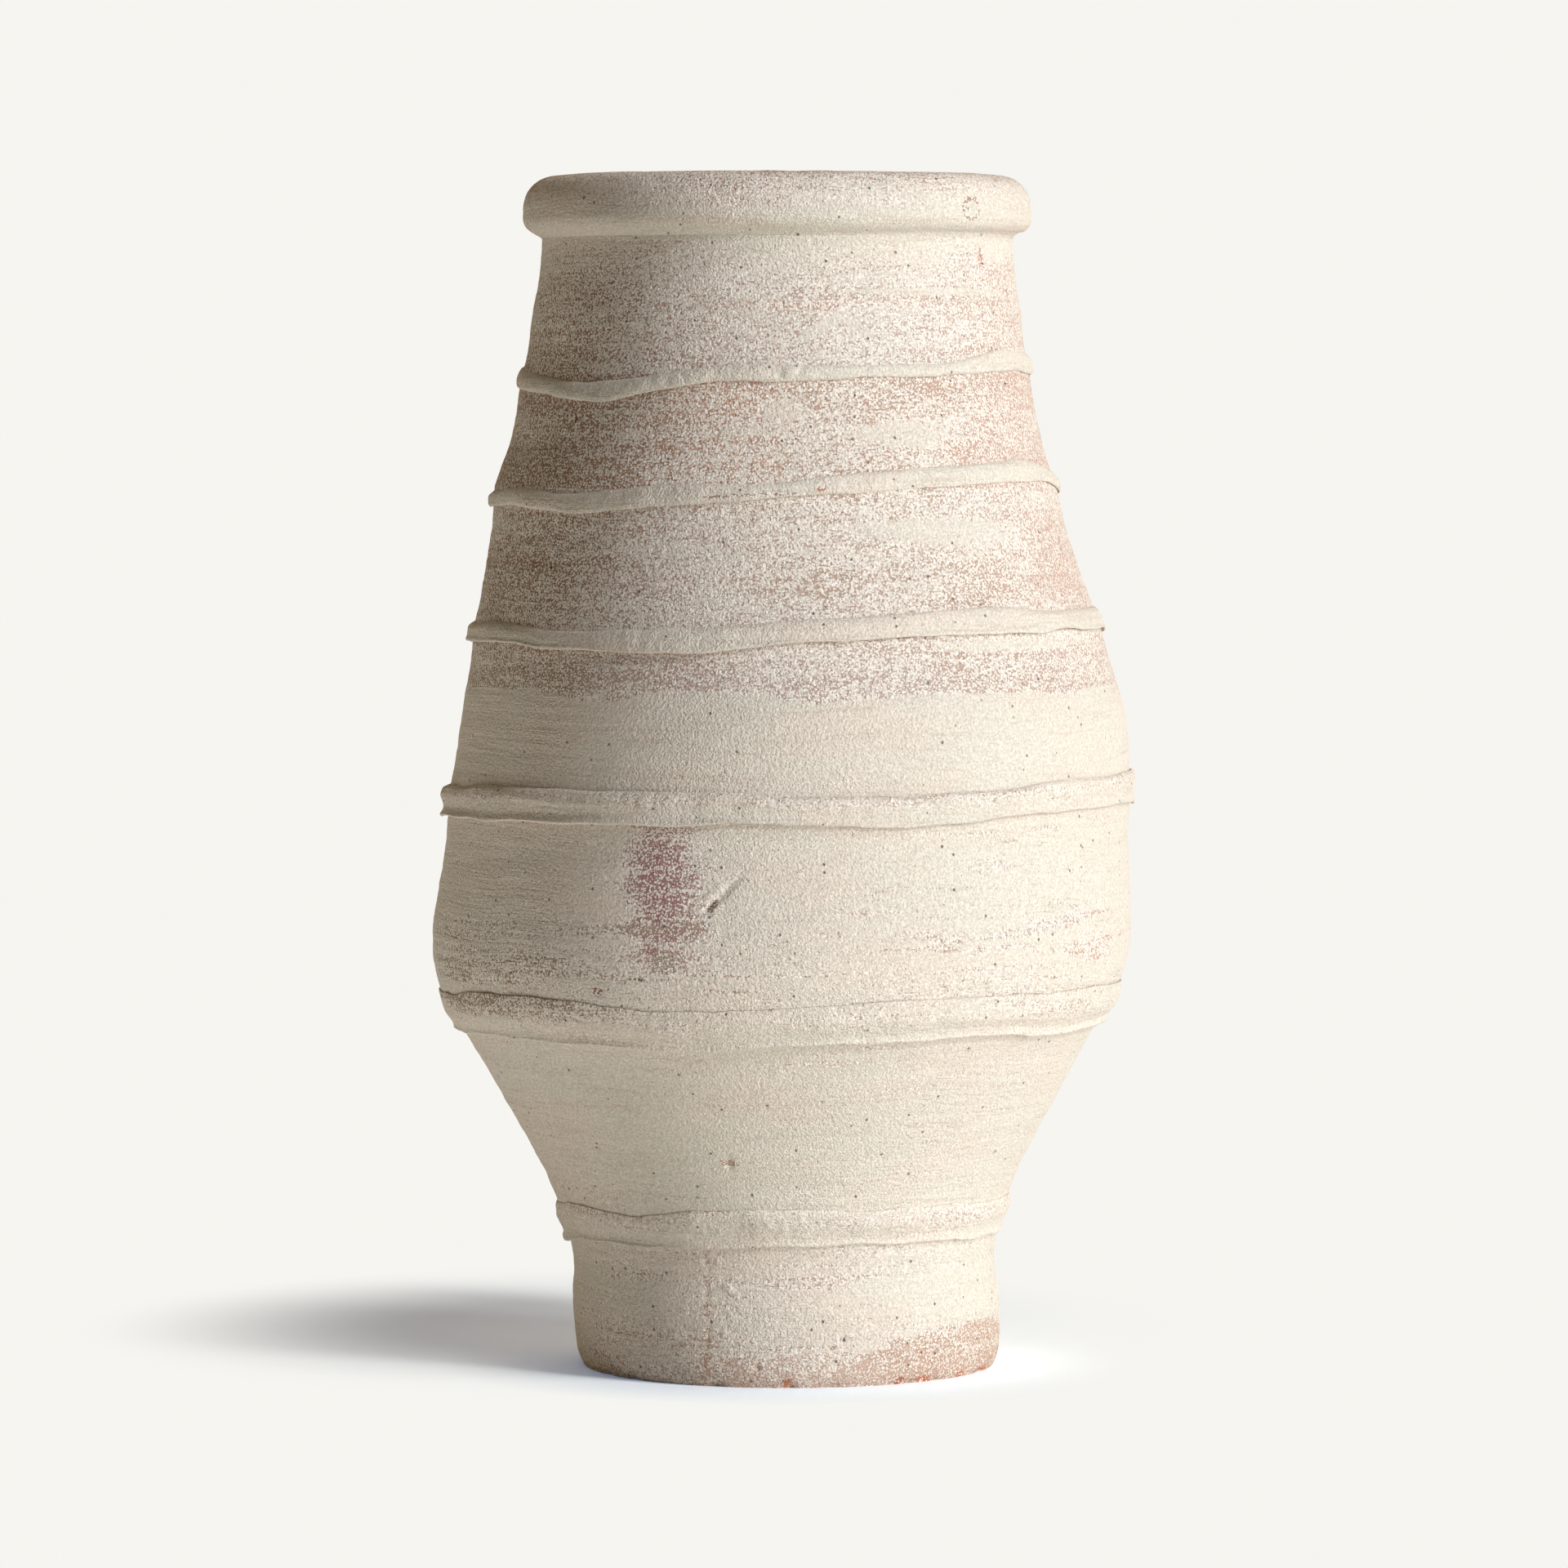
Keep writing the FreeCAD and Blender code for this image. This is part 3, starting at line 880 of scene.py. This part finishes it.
# The shoulder: the stage over the middle band, which bulges on the right. The slip was poured on
# from below up to a wavy line, and over the line the sandy mauve clay shows through thin specks.
shoulder = raise_wall("shoulder", "shoulder_wall")
rough_out(shoulder)
for turn, height in ((5.5, 456), (7.3, 454), (8.8, 455.5), (6.5, 451), (-3.1, 494)):
    press(shoulder, turn, height, 4, 3, -1.0)
shoulder.data.materials.append(
    slipped_clay(
        "shoulder clay", "shoulder_wall",
        (
            (0.0, 1.1), (0.15, 1.2), (0.6, 1.25), (0.625, 1.2), (0.645, 0.42), (0.92, 0.5),
            (1.0, 0.66),
        ),
        (clay_mauve, clay_brown),
        (
            # Darker on the left, shade side, and paler on the right, lit side: partly painted shade
            # and light.
            (-60, 540, 150, 60, -0.02, (0.50, 0.36, 0.28), 0.8),
            (75, 530, 90, 30, 0.05, (0.62, 0.44, 0.38)),
            (42, 550, 60, 4, 0.5, None, 0.6),
            (7.3, 455, 14, 5, -0.4, (0.64, 0.54, 0.38), 0.8),
        ),
    )
)
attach(shoulder, "root")
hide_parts("shoulder_wall")

# The shoulder band: pressed flat with the side of the thumb, and left round at its edges. Like the
# two bands above it, it lay under the wet hand and came out solid with cream slip.
shoulder_band_shares = (
    (-0.62, None), (-0.82, 0.0), (-1.02, 0.38), (-1.0, 0.66), (-0.8, 0.84), (-0.55, 0.78),
    (-0.1, 0.8), (0.4, 0.88), (0.78, 0.7), (1.0, 0.3), (1.06, -0.12), (0.88, None),
)
shoulder_band = press_band(
    "shoulder_band_coil", "shoulder_band", shoulder_band_shares, sharp=(2,), seed=40, lip_give=0.8
)
pale_band_covers = ((0.0, 1.3), (0.5, 1.15), (1.0, 1.05))
shoulder_band.data.materials.append(
    slipped_clay(
        "shoulder band clay", "shoulder_band", pale_band_covers, (clay_brown, clay_mauve)
    )
)
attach(shoulder_band, "root")
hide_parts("shoulder_band")

# The upper stage: drawn in towards the neck. Its thin slip was wiped in long strokes off a mauve
# clay that is painted darker on the left, shade side, as partly painted shade, and paler and more
# orange on the right, lit side, as partly painted light.
upper = raise_wall("upper", "upper_wall")
rough_out(upper)
upper.data.materials.append(
    slipped_clay(
        "upper clay", "upper_wall",
        ((0.0, 0.7), (0.2, 0.56), (0.45, 0.5), (0.6, 0.62), (0.8, 0.58), (1.0, 0.6)),
        (clay_mauve, clay_brown),
        (
            (-60, 610, 150, 80, -0.15, shade_side_clay, 0.8),
            (75, 610, 110, 70, -0.17, lit_side_orange, 0.9),
            (35, 634, 70, 9, 0.35, None),
        ),
    )
)
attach(upper, "root")
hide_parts("upper_wall")

# The upper band: a thin, wavy, rounded coil over the joint of the upper stage and the collar, solid
# with greenish cream slip. It has cracked loose along its foot in front, where the crack is a dark
# line of painted shade.
thin_band_shares = (
    (-0.7, None), (-0.88, -0.05), (-1.0, 0.2), (-0.92, 0.52), (-0.52, 0.9), (0.05, 1.0),
    (0.55, 0.9), (0.9, 0.5), (1.02, -0.12), (0.88, None),
)
upper_band = press_band(
    "upper_band_coil", "upper_band", thin_band_shares, sharp=(2,), seed=50, lip_give=0.9
)
upper_band.data.materials.append(
    slipped_clay(
        "upper band clay", "upper_band", pale_band_covers, (clay_brown, clay_mauve),
        (
            # Dark line along the band's foot in front: painted shade in the crack.
            (-5, 661, 42, 1.4, -0.7, (0.36, 0.25, 0.19), 0.4, 2),
            (9, 666, 4, 2.5, -0.9, (0.60, 0.30, 0.20), 0.4),
        ),
    )
)
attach(upper_band, "root")
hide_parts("upper_band")

# The collar: the stage between the two thin bands. It is the reddest, where hardly more than
# specks of slip hold on the sandy clay.
# Pinholes are painted near black: painted shade in the holes.
pinhole_shadow = (0.2, 0.13, 0.09)
collar = raise_wall("collar", "collar_wall")
rough_out(collar)
collar.data.materials.append(
    slipped_clay(
        "collar clay", "collar_wall",
        ((0.0, 0.5), (0.3, 0.5), (0.5, 0.62), (0.7, 0.55), (0.88, 0.36), (1.0, 0.45)),
        (clay_red, clay_brown),
        (
            # Darker on the left, shade side, and paler orange on the right, lit side: partly
            # painted shade and light.
            (-60, 705, 150, 80, -0.24, shade_side_clay, 0.8),
            (75, 705, 105, 70, -0.15, lit_side_orange, 0.9),
            (2, 722, 16, 10, 0.4, None),
            (28, 705, 40, 9, 0.35, None),
            (62.6, 742, 2.2, 2.0, -1.0, pinhole_shadow, 0.2),
            (-48.4, 716, 2.0, 2.0, -1.0, pinhole_shadow, 0.2),
        ),
    )
)
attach(collar, "root")
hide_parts("collar_wall")

# The collar band: a thin, rounded coil like the upper band, over the joint of the collar and the
# neck. It is the waviest of all, with a dent and a lump in front.
collar_band = press_band(
    "collar_band_coil", "collar_band", thin_band_shares, sharp=(2,), seed=60, lip_give=0.9
)
press(collar_band, 3.4, 752, 9, 5, -1.6, 20)
press(collar_band, 1.2, 747, 6, 2.5, 1.2, -30)
collar_band.data.materials.append(
    slipped_clay("collar band clay", "collar_band", pale_band_covers, (clay_brown, clay_mauve))
)
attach(collar_band, "root")
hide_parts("collar_band")

# The neck: the last stage, drawn in towards the mouth and wiped round with a wet hand. A faint
# seam line shows on the right, where two coils meet, with a pale line of painted highlight
# along its upper edge.
ledge_edge = 2 * mm
ledge_run = 24 * mm
ledge_ends = 8


def ledge(piece, first_turn, last_turn, height, dip, depth):
    """Wears a piece's outer face back, in millimetres, below a line that dips in the middle,
    between two turns from the front towards +X, and lets it come out again further down."""
    height = height * mm
    places = points_of(piece)
    lean, radius = wall_face(height)
    turns = np.degrees(np.arctan2(places[:, 0] - lean, -places[:, 1]))
    share = (turns - first_turn) / (last_turn - first_turn)
    under = height - (dip * mm) * np.sin(np.clip(share, 0, 1) * math.pi) - places[:, 2]
    give = np.clip(under / ledge_edge, 0, 1) * np.clip(1 - under / ledge_run, 0, 1)
    give *= np.clip(share * ledge_ends, 0, 1) * np.clip((1 - share) * ledge_ends, 0, 1)
    give *= np.hypot(places[:, 0] - lean, places[:, 1]) > radius - face_depth
    places[:, 0] -= give * (depth * mm) * np.sin(np.radians(turns))
    places[:, 1] += give * (depth * mm) * np.cos(np.radians(turns))
    move_points(piece, places)


neck = raise_wall("neck", "neck_wall")
rough_out(neck)
ledge(neck, 9, 73, 806, 2, 2.4)
press(neck, 45, 803, 3.5, 3.5, 1.2)
press(neck, 58, 835, 5, 9, 1.2)
neck.data.materials.append(
    slipped_clay(
        "neck clay", "neck_wall",
        (
            (0.0, 0.55), (0.2, 0.6), (0.4, 0.62), (0.55, 0.68), (0.8, 0.74), (0.93, 0.88),
            (1.0, 1.05),
        ),
        (clay_brown, clay_mauve),
        (
            # Darker on the left, shade side, and paler orange on the right, lit side: partly
            # painted shade and light.
            (-60, 790, 120, 80, -0.1, shade_side_clay, 0.8),
            (75, 800, 100, 70, -0.13, lit_side_orange, 0.9),
            (10.3, 784, 17, 3.4, 0.9, None, 0.4, 30),
            (18, 785, 15, 2.4, 0.8, None, 0.4, -27),
            (58, 835, 3.0, 7.5, -0.6, (0.62, 0.36, 0.28), 0.4),
            (45.7, 804.6, 2.2, 2.0, -1.0, pinhole_shadow, 0.2),
            (2, 800, 40, 5, -0.15, clay_red, 0.7),
            # Pale line over the seam step: painted highlight on its upper edge.
            (40, 810, 85, 2.4, 0.55, None, 0.3),
            (40, 803, 90, 4, -0.2, (0.66, 0.5, 0.42), 0.6),
        ),
    )
)
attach(neck, "root")
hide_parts("neck_wall")

# The rim: a thick coil laid on the neck and rolled over with both hands, for lifting the jar by
# and for tying a lid under. Its top is worn to sandy tan, and cream slip is left below.
rim_low, rim_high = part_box("rim_roll")
neck_radius = wall_face(rim_low.z)[1]
rim_outer_shares = (
    0.002, 0.05, 0.09, 0.14, 0.22, 0.32, 0.45, 0.58, 0.7, 0.8, 0.88, 0.94, 0.98, 0.998,
)
rim_inner_shares = (0.998, 0.97, 0.9, 0.8, 0.65, 0.5, 0.3, 0.15, 0.002)
rim_sag = 0.9 * mm
rim_pinch = 0.003
rim_fullness = ((0.0, 0.06, 0.16, 0.4), (0.0, 3.0 * mm, 2.6 * mm, 0.0))
rim_joint_fade = 1 / 6
rim_flats = (60 * mm, 1.4 * mm, 1)
rim_strokes = (9 * mm, 0.8 * mm, 4)


def rim_ring(share, inside):
    """A height, a share of the rim's own, and the lean and radius of its face there."""
    height = rim_low.z + (rim_high.z - rim_low.z) * share
    return height, *face_ring("rim_roll", height, inside)


rim_rings = [rim_ring(share, False) for share in rim_outer_shares]
rim_rings += [rim_ring(share, True) for share in rim_inner_shares]
rim = coil_up("rim", rim_rings, (0, len(rim_rings) - 1))
rim_places = points_of(rim)
rim_turns = np.arctan2(rim_places[:, 0], -rim_places[:, 1])
rim_climb = np.clip((rim_places[:, 2] - rim_low.z) / (rim_high.z - rim_low.z), 0, 1)
rim_places[:, 2] -= (hand_line(rim_turns, knots=5, seed=70) + 1) * rim_sag * rim_climb
rim_shrink = (hand_line(rim_turns, knots=7, seed=71) + 1) * rim_pinch
rim_shrink = 1 - rim_shrink * np.sin(rim_climb * math.pi)
rim_places[:, :2] *= rim_shrink[:, None]
rim_full = np.interp(rim_climb, *rim_fullness)
rim_full *= np.hypot(rim_places[:, 0], rim_places[:, 1]) > neck_radius
rim_places[:, 0] += rim_full * np.sin(rim_turns)
rim_places[:, 1] -= rim_full * np.cos(rim_turns)
move_points(rim, rim_places)
press(rim, 48.4, 871, 10, 10, -0.8)
press(rim, 48.4, 871, 6, 6, 1.6)
rim_give = np.clip(rim_climb / rim_joint_fade, 0, 1)
for size, depth, stretch in (rim_flats, rim_strokes):
    unevenness(rim, size, depth, rim_give, stretch)
bpy.ops.object.shade_smooth_by_angle(angle=wall_edge_angle)
rim.data.materials.append(
    slipped_clay(
        "rim clay", "rim_roll",
        (
            (0.0, 1.2), (0.2, 1.15), (0.36, 1.0), (0.46, 0.85), (0.75, 0.72), (0.92, 0.52),
            (1.0, 0.36),
        ),
        (clay_brown, clay_red),
        (
            # Paler orange on the right, lit side: partly painted light.
            (60, 880, 80, 30, 0.06, lit_side_orange, 0.8),
            (48.4, 871, 10, 9.5, -0.6, (0.50, 0.34, 0.26), 0.2),
            (48.4, 871, 6, 6, 0.7, (0.66, 0.55, 0.45), 0.3),
        ),
    )
)
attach(rim, "root")
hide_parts("rim_roll")

# The photographer's floor and light: a pale floor that runs out into a backdrop of the same
# colour, and a tall soft light at the right of the camera. A card behind gives a weak warm glow.
background = (0.921, 0.913, 0.877)
near_tint = (0.95, 1.0, 1.0)
near_lift = (0.32, 0.36, 0.36)
near_cool = (0.03, 0.07, 0.16)
bounce_tint = (0.82, 0.80, 0.77)
glow_tint = (1.0, 0.97, 0.92)
floor_radius = 40.0
floor_corners = 128
fade_start, fade_end = 0.155, 0.44
fade_lean, fade_back = 0.12, 0.22
foot_near, foot_far = 0.17, 0.27
near_floor, bright_floor, far_floor = 0.15, 0.6, 1.8


def floor_material():
    """Cameras see the backdrop's colour with the jar's shadow in it. The jar itself gets warm
    light back from the floor near it."""
    material = bpy.data.materials.new("pale floor")
    material.use_nodes = True
    tree = material.node_tree
    tree.nodes.clear()
    rays = add(tree, "LightPath")
    first = add(tree, "BsdfDiffuse", {"Color": opaque(near_tint)})
    second = add(tree, "BsdfDiffuse", {"Color": opaque(near_lift)})
    both = add(tree, "AddShader", {0: first.outputs[0], 1: second.outputs[0]})
    cool = add(tree, "Emission", {"Color": opaque(near_cool), "Strength": 1.0})
    near = add(tree, "AddShader", {0: both.outputs[0], 1: cool.outputs[0]})
    far = add(tree, "Emission", {"Color": opaque(background), "Strength": 1.0})
    place = add(tree, "TexCoord").outputs["Object"]
    distance = add(tree, "VectorMath", {0: place}, operation="LENGTH").outputs["Value"]
    moved = add(tree, "Mapping", {"Vector": place, "Location": (fade_lean, -fade_back, 0)})
    spread = add(tree, "VectorMath", {0: moved.outputs[0]}, operation="LENGTH")
    fade = ease(tree, spread.outputs["Value"], fade_start, fade_end)
    fade = times(tree, fade, ease(tree, distance, foot_near, foot_far))
    shown = add(tree, "MixShader", {0: fade, 1: near.outputs[0], 2: far.outputs[0]})
    rise = ease(tree, distance, near_floor, bright_floor)
    fall = ease(tree, distance, bright_floor, far_floor, 0.5, 0.0)
    bounced = add(tree, "BsdfDiffuse", {"Color": opaque(bounce_tint)})
    glow = {"Color": opaque(glow_tint), "Strength": times(tree, rise, fall)}
    glowing = add(tree, "Emission", glow)
    felt = add(tree, "AddShader", {0: bounced.outputs[0], 1: glowing.outputs[0]})
    sockets = {0: rays.outputs["Is Camera Ray"], 1: felt.outputs[0], 2: shown.outputs[0]}
    whole = add(tree, "MixShader", sockets)
    add(tree, "OutputMaterial", {"Surface": whole.outputs[0]})
    return material


bpy.ops.object.select_all(action="DESELECT")
bpy.ops.mesh.primitive_circle_add(
    vertices=floor_corners, radius=floor_radius, fill_type="NGON"
)
floor = bpy.context.object
floor.name = floor.data.name = "floor"
floor.data.materials.append(floor_material())

front_glow = (0.05, 0.04, 0.03)
back_glow = (0.59, 0.455, 0.27)
world = bpy.data.worlds.new("studio")
bpy.context.scene.world = world
world.use_nodes = True
sky = world.node_tree
sky.nodes.clear()
rays = add(sky, "LightPath")
shown = add(sky, "Background", {"Color": opaque(background), "Strength": 1.0})
heading = add(sky, "TexCoord")
parts = add(sky, "SeparateXYZ", {0: heading.outputs["Generated"]})
behind = ease(sky, parts.outputs["Y"], -0.2, 1.0)
glow = blend(sky, behind, front_glow, back_glow)
lighting = add(sky, "Background", {"Color": glow, "Strength": 1.0})
sockets = {0: rays.outputs["Is Camera Ray"], 1: lighting.outputs[0], 2: shown.outputs[0]}
mixed = add(sky, "MixShader", sockets)
add(sky, "OutputWorld", {"Surface": mixed.outputs[0]})

light_colour = (0.97, 0.95, 0.945)
light_softness = 10
light_parts = ((57, 2, 1.5), (63, 14, 0.55), (52, 26, 1.1), (57, 44, 0.55))
for index, (turn, climb, strength) in enumerate(light_parts):
    bpy.ops.object.light_add(type="SUN", location=(2, -2, 1 + index))
    soft_light = bpy.context.object
    soft_light.name = f"soft_light_{index}"
    soft_light.data.energy = strength
    soft_light.data.angle = math.radians(light_softness)
    soft_light.data.color = light_colour
    soft_light.rotation_euler = (math.radians(90 - climb), 0, math.radians(turn))

eye = (0, -5.8582, 0.74446)
view_tilt = 87.02
lens_length = 177.94
film_width = 36
bpy.ops.object.camera_add(location=eye, rotation=(math.radians(view_tilt), 0, 0))
camera = bpy.context.object
camera.data.lens = lens_length
camera.data.sensor_width = film_width
bpy.context.scene.camera = camera
bpy.context.scene.view_settings.view_transform = "Standard"
